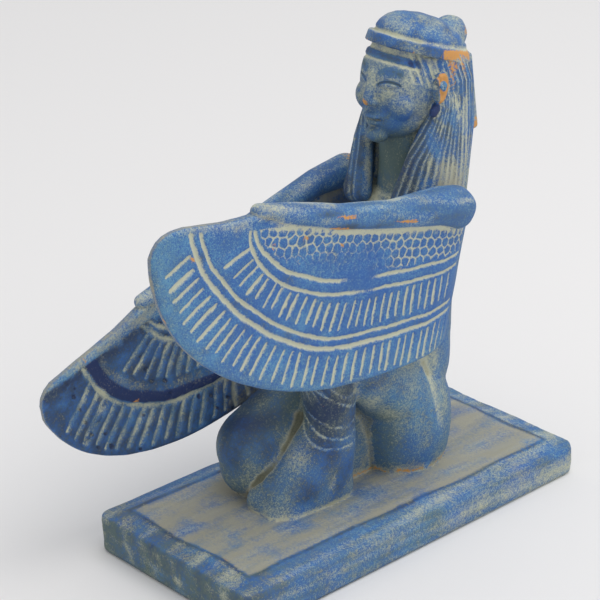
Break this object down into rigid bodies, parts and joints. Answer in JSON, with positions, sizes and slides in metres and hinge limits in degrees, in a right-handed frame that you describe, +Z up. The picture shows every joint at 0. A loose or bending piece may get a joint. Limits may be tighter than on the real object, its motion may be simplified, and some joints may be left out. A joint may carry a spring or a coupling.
{
  "type": "isis statue",
  "caption": "Small carved stone figure of a kneeling woman with outstretched feathered wings, one block with its low plinth.",
  "frame": {"origin": "middle of the plinth's flat underside", "axes": "+Z up; the figure faces -Y, along the plinth's length; +X is the figure's left, the side of the raised wing"},
  "size_m": [0.081, 0.1871, 0.1792],
  "materials": {
    "painted_stone": "matte worn blue paint rubbed over carved stone, with pale dust in the carving"
  },
  "bodies": {
    "root": {"isis_statue": "painted_stone"}
  },
  "joints": []
}
